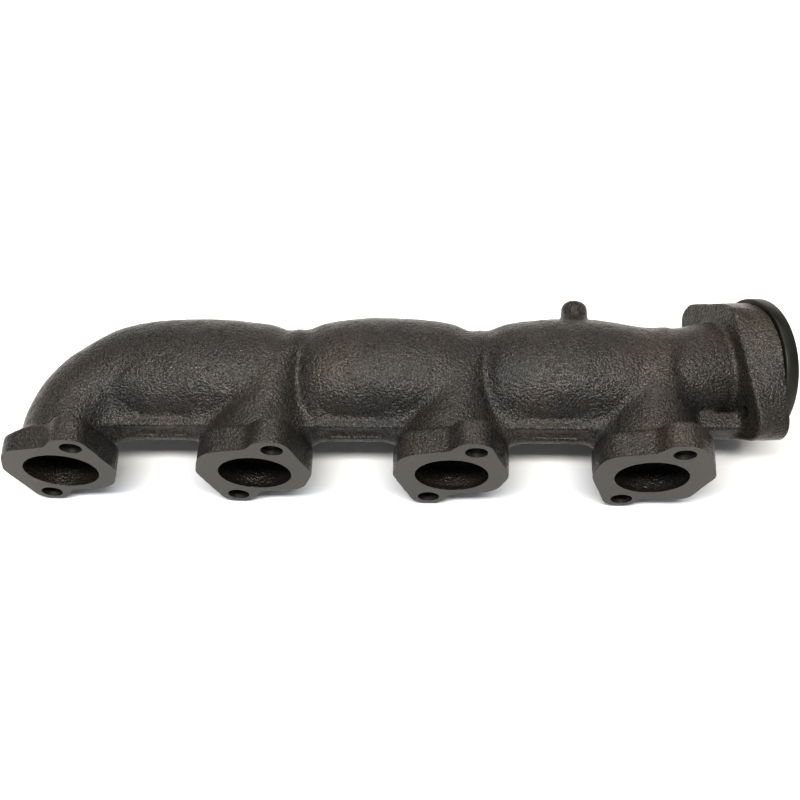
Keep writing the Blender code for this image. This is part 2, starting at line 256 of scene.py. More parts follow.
def ellipse_distance(u, v, half_u, half_v):
    """About the distance to an ellipse, exact on its outline."""
    scaled = np.sqrt((u / half_u) ** 2 + (v / half_v) ** 2) + 1e-6
    slope = np.sqrt((u / half_u**2) ** 2 + (v / half_v**2) ** 2) + 1e-6
    return scaled * (scaled - 1) / slope


def rounded_box(x, y, z, low, high, rounding):
    """Distance to a box given by its corners, with rounded edges."""
    parts = []
    for value, least, most in zip((x, y, z), low, high):
        parts.append(np.abs(value - (least + most) / 2) - ((most - least) / 2 - rounding))
    outside = np.sqrt(sum(np.maximum(part, 0) ** 2 for part in parts))
    inside = np.minimum(np.maximum(np.maximum(parts[0], parts[1]), parts[2]), 0)
    return outside + inside - rounding


def rounded_outline(corners):
    """Points of a closed outline whose corners (x, z, radius) are each replaced by an arc."""
    points = []
    for index, (x, z, radius) in enumerate(corners):
        corner = Vector((x, z))
        before = (Vector(corners[index - 1][:2]) - corner).normalized()
        after = (Vector(corners[(index + 1) % len(corners)][:2]) - corner).normalized()
        half_angle = before.angle(after) / 2
        centre = corner + (before + after).normalized() * (radius / math.sin(half_angle))
        start = corner + before * (radius / math.tan(half_angle)) - centre
        end = corner + after * (radius / math.tan(half_angle)) - centre
        sweep = math.atan2(start.x * end.y - start.y * end.x, start.dot(end))
        steps = max(2, math.ceil(abs(sweep) / ARC_STEP))
        for step in range(steps + 1):
            points.append(centre + Matrix.Rotation(sweep * step / steps, 2) @ start)
    return np.array([(point.x, point.y) for point in points])


def outline_distance(u, v, outline):
    """Signed distance to a closed outline in its plane."""
    nearest = np.full(np.broadcast(u, v).shape, np.inf)
    inside = np.zeros(nearest.shape, bool)
    for start, end in zip(outline, np.roll(outline, -1, axis=0)):
        edge = end - start
        along = ((u - start[0]) * edge[0] + (v - start[1]) * edge[1]) / (edge @ edge + 1e-12)
        along = np.clip(along, 0, 1)
        away = (u - start[0] - along * edge[0]) ** 2 + (v - start[1] - along * edge[1]) ** 2
        nearest = np.minimum(nearest, away)
        crosses = (start[1] > v) != (end[1] > v)
        rise = edge[1] if abs(edge[1]) > 1e-9 else 1e-9
        inside ^= crosses & (u < start[0] + edge[0] * (v - start[1]) / rise)
    return np.where(inside, -1, 1) * np.sqrt(nearest)


def extrusion(flat, along, low, high, rounding):
    """Distance to a prism from its outline's distance and the coordinate along it."""
    side = flat + rounding
    ends = np.abs(along - (low + high) / 2) - ((high - low) / 2 - rounding)
    outside = np.sqrt(np.maximum(side, 0) ** 2 + np.maximum(ends, 0) ** 2)
    return outside + np.minimum(np.maximum(side, ends), 0) - rounding


def port_x(index):
    return (index - (PORT_COUNT - 1) / 2) * PORT_PITCH


def outlet_matrix():
    """Matrix whose Y axis is the outlet's axis, with its origin on the back of the outlet flange."""
    turn = Matrix.Rotation(OUTLET_YAW - math.pi / 2, 4, "Z") @ Matrix.Rotation(-OUTLET_PITCH, 4, "X")
    return Matrix.Translation(OUTLET_CENTRE) @ turn


def outlet_coordinates(x, y, z):
    """Coordinates across, along and up in the outlet's frame."""
    inverse = outlet_matrix().inverted()
    return (
        inverse[row][0] * x + inverse[row][1] * y + inverse[row][2] * z + inverse[row][3]
        for row in range(3)
    )


def hump_half_width(x, drop):
    """Half the log's width along Y on the back: a hump between each pair of valleys.

    drop is how far a hump falls at its ends, except where the last one runs into the neck.
    """
    width = np.full(np.shape(x), VALLEY_HALF_WIDTH, np.float32)
    for start, end, peak in zip(VALLEYS_X, VALLEYS_X[1:], PEAK_HALF_WIDTHS):
        across = np.clip(2 * (x - start) / (end - start) - 1, -1, 1)
        fall = np.where((across > 0) & (end == VALLEYS_X[-1]), 0, drop)
        crown = peak - (peak - VALLEY_HALF_WIDTH) * across**2 - fall * across**10
        width = np.where((x >= start) & (x <= end), crown, width)
    return width


def front_half_width(x):
    """Half the log's width on the port side, which stays full nearly to the ends of each hump."""
    width = np.full(np.shape(x), VALLEY_HALF_WIDTH, np.float32)
    for start, end in zip(VALLEYS_X, VALLEYS_X[1:]):
        across = np.clip(2 * (x - start) / (end - start) - 1, -1, 1)
        drop = FRONT_HALF_WIDTH - VALLEY_HALF_WIDTH + FRONT_END_DROP
        full = FRONT_HALF_WIDTH - drop * across**8
        width = np.where((x >= start) & (x <= end), full, width)
    return width


def log_shape(wall, drop):
    """The straight log, thinned by wall; its ends are hidden in the elbow and the neck.

    The passage has no drop at the ends of its humps, and no full port side.
    """
    last_start = port_x(0) + LOG_Y - FLANGE_THICKNESS

    def shape(x, y, z):
        back = hump_half_width(x, drop)
        width = np.where(y < LOG_Y, front_half_width(x), back) if drop else back
        tube = ellipse_distance(y - LOG_Y, z, width - wall, back * HEIGHT_TO_WIDTH - wall)
        start = np.clip(LOG_START_X + y - LOG_START_SLANT_Y, LOG_START_X, last_start) + wall
        return np.maximum(tube, np.maximum(start - x, x - NECK_START_X))

    return shape


def elbow_shape(wall, start_width, start_height):
    """The first runner, which turns through a quarter circle into the log."""
    bend = LOG_Y - FLANGE_THICKNESS
    pivot_x = port_x(0) + bend
    pivot_y = FLANGE_THICKNESS

    def shape(x, y, z):
        away_x = pivot_x - x
        away_y = y - pivot_y
        turn = np.clip(np.arctan2(away_y, away_x), 0, math.pi / 2) / (math.pi / 2)
        radial = np.where(away_y < 0, away_x, np.hypot(away_x, away_y)) - bend
        radial = np.where((away_x < 0) & (away_y >= 0), away_y - bend, radial)
        centre_x = pivot_x - np.cos(turn * math.pi / 2) * bend
        log_width = hump_half_width(centre_x, 0)
        width = start_width + (log_width - wall - start_width) * turn
        height = start_height + (log_width * HEIGHT_TO_WIDTH - wall - start_height) * turn
        tube = ellipse_distance(radial, z, width, height)
        return np.maximum(tube, x - pivot_x - STEP)

    return shape


def ellipsoid_chain(stations):
    """Union of ellipsoids along a path of (centre, direction, half_width, half_height)."""

    def shape(x, y, z):
        nearest = np.full(np.broadcast(x, y, z).shape, FAR, np.float32)
        for centre, direction, half_width, half_height in stations:
            side = Vector(direction).cross(Vector((0, 0, 1))).normalized()
            top = side.cross(direction).normalized()
            dx, dy, dz = x - centre[0], y - centre[1], z - centre[2]
            along = dx * direction[0] + dy * direction[1] + dz * direction[2]
            across = dx * side[0] + dy * side[1] + dz * side[2]
            above = dx * top[0] + dy * top[1] + dz * top[2]
            length = min(half_width, half_height)
            scaled = (across / half_width) ** 2 + (above / half_height) ** 2 + (along / length) ** 2
            scaled = np.sqrt(scaled)
            nearest = np.minimum(nearest, (scaled - 1) * length)
        return nearest

    return shape


def neck_stations(wall, end_along):
    """Hermite curve from the log's axis to the low side of the outlet flange's back."""
    outlet = outlet_matrix()
    axis = outlet.col[1].to_3d()
    across, up = NECK_END_OFFSET
    start = Vector((NECK_START_X, LOG_Y, 0))
    end = outlet @ Vector((across, end_along, up))
    reach = (end - start).length
    stations = []
    for step in range(NECK_STEPS + 1):
        t = step / NECK_STEPS
        centre = (
            start * (2 * t**3 - 3 * t**2 + 1)
            + Vector((reach, 0, 0)) * (t**3 - 2 * t**2 + t)
            + end * (3 * t**2 - 2 * t**3)
            + axis * reach * (t**3 - t**2)
        )
        direction = Vector((1, 0, 0)).lerp(axis, t).normalized()
        half_width = VALLEY_HALF_WIDTH - wall
        half_height = VALLEY_HALF_WIDTH * HEIGHT_TO_WIDTH - wall
        half_width += (NECK_END_HALF_SIZES[0] - wall - half_width) * t
        half_height += (NECK_END_HALF_SIZES[1] - wall - half_height) * t
        stations.append((centre, direction, half_width, half_height))
    return stations


def runner_shape(index, lean, widths, heights):
    """A runner that leans towards the outlet and crosses the log as a ridge.

    widths and heights are the half sizes at the flange and at the log's axis.
    """
    end_y = LOG_Y + RIDGE_REACH

    def shape(x, y, z):
        t = np.clip((y - FLANGE_THICKNESS) / (LOG_Y - FLANGE_THICKNESS), 0, 1)
        path = np.clip((y - FLANGE_THICKNESS) / (end_y - FLANGE_THICKNESS), 0, 1)
        centre = port_x(index) + lean * path * path * (3 - 2 * path)
        width = widths[0] + (widths[1] - widths[0]) * t
        height = heights[0] + (heights[1] - heights[0]) * t
        past = np.maximum(y - LOG_Y, 0)
        side = (x - centre) / width
        top = z / height
        back = past / (end_y - LOG_Y)
        scaled = np.sqrt(side**2 + top**2 + back**2) + 1e-6
        slope = np.sqrt((side / width) ** 2 + (top / height) ** 2 + (back / (end_y - LOG_Y)) ** 2)
        tube = scaled * (scaled - 1) / (slope + 1e-6)
        return np.maximum(tube, 2 - y)

    return shape


def port_flange_corners(index):
    """Outline of a port flange seen from the front; the last one is broader at its lower right."""
    upper = [
        (20.5, 40.5, 10.0),
        (6.0, 40.5, 8.0),
        (-1.0, 31.0, 6.0),
        (-27.0, 25.0, 15.0),
        (-32.5, 1.0, 12.0),
        (-22.0, -38.8, 8.5),
        (-8.0, -38.8, 7.0),
    ]
    right = [(31.5, 0.0, 18.0)]
    lower = [(1.0, -24.5, 8.0), (23.0, -24.5, 16.0)]
    if index == PORT_COUNT - 1:
        right = [(34.0, 2.0, 12.0), (30.0, 22.0, 20.0)]
        lower = [(-3.0, -29.0, 6.0), (23.0, -29.0, 8.0)]
    return right + upper + lower


def port_flange_shape(index):
    """A port flange; the first one is thinner and rounder on its outer side."""
    outline = rounded_outline(port_flange_corners(index))
    thinner, rounding = 0, FLANGE_ROUNDING
    if index == 0:
        thinner, rounding = FIRST_FLANGE_THINNER, FIRST_FLANGE_ROUNDING

    def shape(x, y, z):
        flat = outline_distance(x[:, 0, 0][:, None] - port_x(index), z[0, 0, :][None, :], outline)
        back = FLANGE_THICKNESS - thinner * np.clip((port_x(index) - 12 - x) / 10, 0, 1)
        return extrusion(flat[:, None, :], y, -MILLING_STOCK, back, rounding)

    return shape


def arc_points(centre, radius, half_height=math.inf):
    """Points round a circle in the outlet's plane, cut flat along the flange's two long sides."""
    flat = Vector((math.sin(OUTLET_FLAT_TILT), math.cos(OUTLET_FLAT_TILT)))
    points = []
    for step in range(OUTLET_CIRCLE_STEPS):
        angle = math.tau * step / OUTLET_CIRCLE_STEPS
        point = Vector(centre) + Vector((math.cos(angle), math.sin(angle))) * radius
        over = abs(point.dot(flat)) - half_height
        if over > 0:
            point -= flat * math.copysign(over, point.dot(flat))
        points.append(point)
    return points


def hull_outline(points):
    return np.array([tuple(points[place]) for place in convex_hull_2d(points)])


def outlet_flange_shape():
    """A flat-sided back with two bolt lobes, which turns into a rounder front that carries the ring."""
    across, up = OUTLET_LOBE_OFFSET
    lobes = arc_points((across, up), OUTLET_LOBE_RADIUS) + arc_points((-across, -up), OUTLET_LOBE_RADIUS)
    back = hull_outline(lobes + arc_points((0, 0), OUTLET_ROUND_RADIUS, OUTLET_FLAT_HALF_HEIGHT))
    front = hull_outline(lobes + arc_points((0, 0), OUTLET_ROUND_RADIUS))

    def shape(x, y, z):
        u, along, v = outlet_coordinates(x, y, z)
        part = np.clip(along / OUTLET_THICKNESS, 0, 1)
        flat = outline_distance(u, v, back) * (1 - part) + outline_distance(u, v, front) * part
        return extrusion(flat, along, 0, OUTLET_THICKNESS + MILLING_STOCK, OUTLET_ROUNDING)

    return shape


def gusset_shape():
    """Block from the last runner to the outlet flange, whose end follows the flange's slanted back."""
    low = (port_x(PORT_COUNT - 1), GUSSET_FRONT_Y, -GUSSET_HALF_HEIGHT)
    past_outlet = OUTLET_CENTRE[0] + 40
    high = (past_outlet, GUSSET_BACK_Y, GUSSET_HALF_HEIGHT)

    def shape(x, y, z):
        _, along, _ = outlet_coordinates(x, y, z)
        block = rounded_box(x, y, z, low, high, WEB_ROUNDING)
        return np.maximum(block, along - GUSSET_END_ALONG)

    return shape


def corner_fillet(least, most):
    """Fillet of the webs and beads: wide in the corners at the runners, tight between them."""

    def fillet(x):
        away = FAR + 0 * x
        for index in range(PORT_COUNT):
            away = np.minimum(away, np.abs(x - port_x(index) - 1))
        return least + (most - least) * np.clip((CORNER_REACH - away) / CORNER_FADE, 0, 1)

    return fillet


def elbow_fillet(x):
    """The elbow blends with the log's front on its inner side, and meets the log flush at its end."""
    least, most = ELBOW_FILLETS
    return least + (most - least) * np.clip((port_x(0) + LOG_Y - FLANGE_THICKNESS - 3 - x) / 6, 0, 1)


def first_flange_fillet(x):
    """The elbow runs into its flange with a wide fillet on its outer side and a tight one inside."""
    return FLANGE_FILLET + FIRST_FLANGE_WIDER_FILLET * np.clip((port_x(0) - 6 - x) / 14, 0, 1)


def web_shape(index):
    """A web whose front is upright above the bead and leans back below it."""
    low = (port_x(index), WEB_FRONT_Y, -WEB_HALF_HEIGHT)
    high = (port_x(index + 1), WEB_BACK_Y, WEB_HALF_HEIGHT)

    def shape(x, y, z):
        leaning = (WEB_FRONT_Y + np.maximum(-z, 0) * WEB_LOWER_DRAFT - y) * 0.92
        return np.maximum(rounded_box(x, y, z, low, high, WEB_ROUNDING), leaning)

    return shape


def bead_shape(index):
    """The raised line along a web's front."""
    low = (port_x(index), BEAD_FRONT_Y, -BEAD_HALF_HEIGHT)
    high = (port_x(index + 1), WEB_BACK_Y, BEAD_HALF_HEIGHT)

    def shape(x, y, z):
        return rounded_box(x, y, z, low, high, BEAD_ROUNDING)

    return shape


def lug_shape():
    """A blind round pin on the log's back with a rounded end."""
    turn = Matrix.Rotation(LUG_TILT, 3, "X")
    axis = turn @ Vector((0, 1, 0))
    base = Vector((LUG_X, LOG_Y, 0))

    def shape(x, y, z):
        dx, dy, dz = x - base.x, y - base.y, z - base.z
        along = dx * axis.x + dy * axis.y + dz * axis.z
        away = np.sqrt(np.maximum(dx**2 + dy**2 + dz**2 - along**2, 0))
        taper = LUG_TAPER * np.clip((along - LUG_TAPER_START) / LUG_TAPER_LENGTH, 0, 1)
        return extrusion(away - LUG_RADIUS + taper, along, LUG_START, LUG_REACH, LUG_ROUNDING)

    return shape


def outlet_bore_shape():
    def shape(x, y, z):
        u, along, v = outlet_coordinates(x, y, z)
        return np.maximum(np.hypot(u, v) - OUTLET_BORE_RADIUS, OUTLET_BORE_START - along)

    return shape


def bore_shape(centre_x):
    def shape(x, y, z):
        round_bore = np.hypot(x - centre_x, z) - BORE_RADIUS
        return np.maximum(round_bore, y - FLANGE_THICKNESS) + 0 * y

    return shape


def undulation(field, seed, size, depth):
    """Slow random swelling of the cast skin: noise on a coarse lattice, blended between its points."""
    random = np.random.default_rng(seed)
    shape = [int(len(axis) * STEP / size) + 3 for axis in field.axes]
    noise = random.standard_normal(shape).astype(np.float32)
    for place, axis in enumerate(field.axes):
        at = (axis - axis[0]) / size
        cell = at.astype(int)
        part = (at - cell).astype(np.float32)
        part = part * part * (3 - 2 * part)
        wide = [1, 1, 1]
        wide[place] = len(axis)
        part = part.reshape(wide)
        noise = np.take(noise, cell, place) * (1 - part) + np.take(noise, cell + 1, place) * part
    field.values += noise * depth


def log_block():
    """Corners of the part of the grid that the log touches."""
    return (LOG_START_X, 22, -32), (NECK_START_X, 96, 32)


def elbow_block():
    first = port_x(0)
    return (first - 28, 0, -28), (first + LOG_Y - FLANGE_THICKNESS, 94, 30)


def runner_block(index, end_y):
    return (port_x(index) - 32, 0, -28), (port_x(index) + 45, end_y, 28)


def join_casting(field):
    """Adds everything that is cast in one piece."""
    elbow = elbow_shape(0, ELBOW_HALF_WIDTH, RUNNER_HALF_HEIGHT)
    field.join(*log_block(), log_shape(0, HUMP_END_DROP), LOG_FILLET)
    field.join(*elbow_block(), elbow, elbow_fillet)
    field.join(NECK_LOW, NECK_HIGH, ellipsoid_chain(neck_stations(0, NECK_END_ALONG)), NECK_FILLET)
    widths = (RUNNER_HALF_WIDTH, RIDGE_HALF_WIDTH)
    heights = (RUNNER_HALF_HEIGHT, RIDGE_HALF_HEIGHT)
    for index in range(1, PORT_COUNT):
        runner = runner_shape(index, RUNNER_LEANS[index - 1], widths, heights)
        field.join(*runner_block(index, LOG_Y + RIDGE_REACH), runner, RUNNER_FILLET)
    for index in range(PORT_COUNT):
        x = port_x(index)
        fillet = FLANGE_FILLET if index else first_flange_fillet
        field.join((x - 36, -4, -42), (x + 38, FLANGE_THICKNESS, 44), port_flange_shape(index), fillet)
    field.join(OUTLET_LOW, OUTLET_HIGH, outlet_flange_shape(), OUTLET_FILLET)
    for index in range(PORT_COUNT - 1):
        x = port_x(index)
        low = (x, BEAD_FRONT_Y, -WEB_HALF_HEIGHT)
        high = (x + PORT_PITCH, WEB_BACK_Y, WEB_HALF_HEIGHT)
        field.join(low, high, web_shape(index), corner_fillet(*WEB_FILLETS))
        field.join(low, high, bead_shape(index), corner_fillet(*BEAD_FILLETS))
    x = port_x(PORT_COUNT - 1)
    low = (x, GUSSET_FRONT_Y, -GUSSET_HALF_HEIGHT)
    field.join(low, (x + 60, GUSSET_BACK_Y, GUSSET_HALF_HEIGHT), gusset_shape(), GUSSET_FILLET)
    field.join((LUG_X - 12, 70, -12), (LUG_X + 12, 108, 14), lug_shape(), LUG_FILLET)


def carve_passage(field):
    """Takes away the gas passage, from the four ports through the log to the outlet."""
    field.carve(*log_block(), log_shape(WALL, 0), PASSAGE_FILLET)
    field.carve(*elbow_block(), elbow_shape(WALL, PASSAGE_RADIUS, PASSAGE_RADIUS), 0.5)
    neck = ellipsoid_chain(neck_stations(WALL, 0))
    field.carve(NECK_LOW, OUTLET_PASSAGE_HIGH, neck, PASSAGE_FILLET)
    field.carve(OUTLET_PASSAGE_LOW, OUTLET_PASSAGE_HIGH, outlet_bore_shape(), 3)
    for index in range(1, PORT_COUNT):
        sizes = (PASSAGE_RADIUS, RIDGE_HALF_WIDTH - 3)
        passage = runner_shape(index, RUNNER_LEANS[index - 1], sizes, sizes)
        field.carve(*runner_block(index, LOG_Y), passage, PASSAGE_FILLET)
    for index in range(PORT_COUNT):
        x = port_x(index)
        field.carve((x - 22, -6, -22), (x + 22, FLANGE_THICKNESS, 22), bore_shape(x), PASSAGE_FILLET)


def casting_field():
    """The whole casting before machining, with open space all round the edge of the grid."""
    field = Field()
    join_casting(field)
    for seed, size, depth in UNDULATIONS:
        undulation(field, seed, size, depth)
    carve_passage(field)
    for edge in (0, -1):
        for axis in range(3):
            side = [slice(None)] * 3
            side[axis] = edge
            field.values[tuple(side)] = np.maximum(field.values[tuple(side)], 1)
    return field


# ---------------------------------------------------------------------------------------------
# Meshes
# ---------------------------------------------------------------------------------------------


def surface_net(field):
    """Closed quad mesh of the field's zero surface: one point in each cell that it crosses."""
    values = field.values
    solid = values < 0
    cells = [n - 1 for n in values.shape]
    corner_list = [(i, j, k) for i in (0, 1) for j in (0, 1) for k in (0, 1)]
    count = np.zeros(cells, np.int8)
    for i, j, k in corner_list:
        count += solid[i : i + cells[0], j : j + cells[1], k : k + cells[2]]
    where = np.argwhere((count > 0) & (count < 8))
    number = np.full(cells, -1, np.int32)
    number[tuple(where.T)] = np.arange(len(where))
    corners = {c: values[tuple((where + c).T)] for c in corner_list}
    total = np.zeros((len(where), 3), np.float32)
    hits = np.zeros(len(where), np.float32)
    for start in corner_list:
        for axis in range(3):
            if start[axis]:
                continue
            end = tuple(1 if place == axis else value for place, value in enumerate(start))
            a, b = corners[start], corners[end]
            crossed = (a < 0) != (b < 0)
            part = np.where(crossed, a / np.where(crossed, a - b, 1), 0)
            for place in range(3):
                total[:, place] += np.where(crossed, start[place] + (part if place == axis else 0), 0)
            hits += crossed
    low = np.array([axis[0] for axis in field.axes])
    points = (where + total / hits[:, None]) * STEP + low
    quads = []
    for axis in range(3):
        u, v = (axis + 1) % 3, (axis + 2) % 3
        near = [slice(None)] * 3
        far = [slice(None)] * 3
        near[axis], far[axis] = slice(0, -1), slice(1, None)
        a, b = solid[tuple(near)], solid[tuple(far)]
        edges = np.argwhere(a != b)
        edges = edges[(edges[:, u] > 0) & (edges[:, v] > 0)]
        edges = edges[(edges[:, u] < cells[u]) & (edges[:, v] < cells[v])]
        outward = a[tuple(edges.T)]
        ring = []
        for du, dv in ((-1, -1), (0, -1), (0, 0), (-1, 0)):
            cell = edges.copy()
            cell[:, u] += du
            cell[:, v] += dv
            ring.append(number[tuple(cell.T)])
        quad = np.stack(ring, 1)
        quad[~outward] = quad[~outward][:, ::-1]
        quads.append(quad)
    return points, np.concatenate(quads)


def mesh_from_arrays(name, points, quads):
    mesh = bpy.data.meshes.new(name)
    mesh.vertices.add(len(points))
    mesh.vertices.foreach_set("co", np.asarray(points, np.float32).ravel())
    mesh.loops.add(len(quads) * 4)
    mesh.loops.foreach_set("vertex_index", quads.astype(np.int32).ravel())
    mesh.polygons.add(len(quads))
    mesh.polygons.foreach_set("loop_start", np.arange(len(quads), dtype=np.int32) * 4)
    mesh.polygons.foreach_set("loop_total", np.full(len(quads), 4, np.int32))
    mesh.update(calc_edges=True)
    return mesh


def add_object(name, data):
    item = bpy.data.objects.new(name, data)
    bpy.context.scene.collection.objects.link(item)
    return item


def mesh_from_bmesh(name, bm):
    mesh = bpy.data.meshes.new(name)
    bm.to_mesh(mesh)
    bm.free()
    return mesh


def to_world():
    """Matrix from the port frame in millimetres to the row frame in metres."""
    return Matrix.Translation(PORT_FRAME) @ Matrix.Scale(MM, 4)


def cylinders(bm, specs, sides):
    """Adds closed cylinders along each matrix's Y axis: (matrix, radius, start, end)."""
    turn = Matrix.Rotation(math.pi / 2, 4, "X")
    for place, radius, start, end in specs:
        middle = Matrix.Translation((0, (start + end) / 2, 0))
        bmesh.ops.create_cone(
            bm,
            cap_ends=True,
            segments=sides,
            radius1=radius,
            radius2=radius,
            depth=end - start,
            matrix=place @ middle @ turn,
        )


def port_places():
    """Matrices at the centres of the eight port bolt holes."""
    places = []
    for index in range(PORT_COUNT):
        for side in (1, -1):
            centre = (port_x(index) + side * BOLT_OFFSET[0], 0, side * BOLT_OFFSET[1])
            places.append(Matrix.Translation(centre))
    return places


def outlet_places():
    across, along = OUTLET_BOLT_OFFSET
    places = []
    for side in (1, -1):
        places.append(outlet_matrix() @ Matrix.Translation((side * across, 0, side * along)))
    return places


def cutter(name, bm):
    bmesh.ops.recalc_face_normals(bm, faces=bm.faces[:])
    return add_object(name, mesh_from_bmesh(name, bm))


def machining_cutters():
    """The milled planes, the drilled holes and the spot faces, as closed shapes to take away."""
    planes = bmesh.new()
    size = Matrix.Diagonal((480, 20, 120, 1))
    bmesh.ops.create_cube(planes, size=1, matrix=Matrix.Translation((20, -10, 0)) @ size)
    front = Matrix.Translation((0, OUTLET_THICKNESS + 10, 0)) @ Matrix.Diagonal((130, 20, 110, 1))
    bmesh.ops.create_cube(planes, size=1, matrix=outlet_matrix() @ front)
    holes = bmesh.new()
    specs = [(place, BOLT_HOLE_RADIUS, -4, FLANGE_THICKNESS + 4) for place in port_places()]
    cylinders(holes, specs, PORT_HOLE_SIDES)
    specs = [(place, OUTLET_HOLE_RADIUS, -6, OUTLET_THICKNESS + 4) for place in outlet_places()]
    cylinders(holes, specs, OUTLET_HOLE_SIDES)
    spots = bmesh.new()
    start = FLANGE_THICKNESS - SPOT_FACE_DEPTH
    specs = [(place, SPOT_FACE_RADIUS, start, start + 3) for place in port_places()]
    cylinders(spots, specs, PORT_HOLE_SIDES)
    return [cutter("milling", planes), cutter("drilling", holes), cutter("spot_facing", spots)]


def cut(item, cutters):
    """Applies the cutters to the object's mesh and removes them."""
    for tool in cutters:
        modifier = item.modifiers.new(tool.name, "BOOLEAN")
        modifier.operation = "DIFFERENCE"
        modifier.solver = "MANIFOLD"
        modifier.object = tool
    bpy.context.view_layer.update()
    graph = bpy.context.evaluated_depsgraph_get()
    mesh = bpy.data.meshes.new_from_object(item.evaluated_get(graph))
    item.modifiers.clear()
    item.data = mesh
    for tool in cutters:
        bpy.data.objects.remove(tool)


def face_arrays(mesh):
    centres = np.empty(len(mesh.polygons) * 3, np.float32)
    normals = np.empty(len(mesh.polygons) * 3, np.float32)
    mesh.polygons.foreach_get("center", centres)
    mesh.polygons.foreach_get("normal", normals)
    return centres.reshape(-1, 3), normals.reshape(-1, 3)


def faces_in(place, centres, normals):
    """The faces' centres and normals in the frame of the matrix place."""
    inverse = np.array(place.inverted())
    return centres @ inverse[:3, :3].T + inverse[:3, 3], normals @ inverse[:3, :3].T


def finish_faces(mesh):
    """Gives the milled planes, the drilled holes and the inside of the bores their own materials; the
    bores get a darker copy of the skin as painted shade.
    """
    centres, normals = face_arrays(mesh)
    index = np.full(len(centres), SKIN, np.int32)
    inside = np.zeros(len(centres), bool)
    for port in range(PORT_COUNT):
        away = np.hypot(centres[:, 0] - port_x(port), centres[:, 2])
        radial = (centres[:, 0] - port_x(port)) * normals[:, 0] + centres[:, 2] * normals[:, 2]
        inside |= (away < BORE_RADIUS + 1) & (centres[:, 1] < LOG_Y) & (radial < 0)
    # The inside of the bores takes the darker skin: painted shade.
    index[inside] = PASSAGE
    milled = (np.abs(centres[:, 1]) < PLANE_TOLERANCE) & (normals[:, 1] < -FACING)
    local, turned = faces_in(outlet_matrix(), centres, normals)
    milled |= (np.abs(local[:, 1] - OUTLET_THICKNESS) < PLANE_TOLERANCE) & (turned[:, 1] > FACING)
    spot_y = FLANGE_THICKNESS - SPOT_FACE_DEPTH
    milled |= (np.abs(centres[:, 1] - spot_y) < PLANE_TOLERANCE) & (normals[:, 1] > FACING)
    index[milled] = MILLED
    drilled = np.zeros(len(centres), bool)
    specs = [(place, BOLT_HOLE_RADIUS) for place in port_places()]
    specs += [(place, OUTLET_HOLE_RADIUS) for place in outlet_places()]
    for place, radius in specs:
        local, turned = faces_in(place, centres, normals)
        away = np.hypot(local[:, 0], local[:, 2])
        near = (local[:, 1] > -1) & (local[:, 1] < OUTLET_THICKNESS + 1)
        drilled |= (away < radius + WALL_TOLERANCE) & near & (np.abs(turned[:, 1]) < 0.3)
    index[drilled] = DRILLED
    mesh.polygons.foreach_set("material_index", index)


def casting():
    field = casting_field()
    points, quads = surface_net(field)
    body = add_object("cast_body", mesh_from_arrays("cast_body", points, quads))
    cut(body, machining_cutters())
    body.data.materials.clear()
    for material in (cast_skin(), milled_face(), drilled_wall(), passage_painted_shade()):
        body.data.materials.append(material)
    finish_faces(body.data)
    body.data.transform(to_world())
    body.data.shade_smooth()
    body.data.set_sharp_from_angle(angle=CAST_SHARP_ANGLE)
    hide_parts("manifold_casting")
    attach(body, "root")
    return body


def ring():
    """Turned ring: a lathe profile with a small chamfer on each rim."""
    start = OUTLET_THICKNESS + RING_GAP
    end = start + RING_THICKNESS
    outer, inner, chamfer = RING_RADIUS, OUTLET_BORE_RADIUS, RING_CHAMFER
    profile = [
        (inner, start),
        (outer - chamfer * 0.6, start),
        (outer - chamfer * 0.2, start + chamfer * 0.25),
        (outer, start + chamfer * 0.8),
        (outer, end - chamfer * 1.4),
        (outer - chamfer * 0.3, end - chamfer * 0.6),
        (outer - chamfer, end - chamfer * 0.12),
        (outer - chamfer * 1.6, end),
        (inner + chamfer * 0.6, end),
        (inner, end - chamfer * 0.6),
    ]
    bm = bmesh.new()
    loops = []
    for step in range(RING_SIDES):
        angle = math.tau * step / RING_SIDES
        loop = [bm.verts.new((r * math.cos(angle), y, r * math.sin(angle))) for r, y in profile]
        loops.append(loop)
    for one, two in zip(loops, loops[1:] + loops[:1]):
        for place in range(len(profile)):
            after = (place + 1) % len(profile)
            bm.faces.new((one[place], one[after], two[after], two[place]))
    bmesh.ops.recalc_face_normals(bm, faces=bm.faces[:])
    mesh = mesh_from_bmesh("turned_ring", bm)
    mesh.transform(outlet_matrix())
    item = add_object("turned_ring", mesh)
    holes = bmesh.new()
    specs = [(place, OUTLET_HOLE_RADIUS, start - 4, end + 4) for place in outlet_places()]
    cylinders(holes, specs, OUTLET_HOLE_SIDES)
    cut(item, [cutter("ring_drilling", holes)])
    item.data.materials.clear()
    item.data.materials.append(turned_metal())
    item.data.transform(to_world())
    item.data.shade_smooth()
    item.data.set_sharp_from_angle(angle=RING_SHARP_ANGLE)
    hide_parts("outlet_ring")
    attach(item, "root")
    return item


# ---------------------------------------------------------------------------------------------
# Materials
# ---------------------------------------------------------------------------------------------


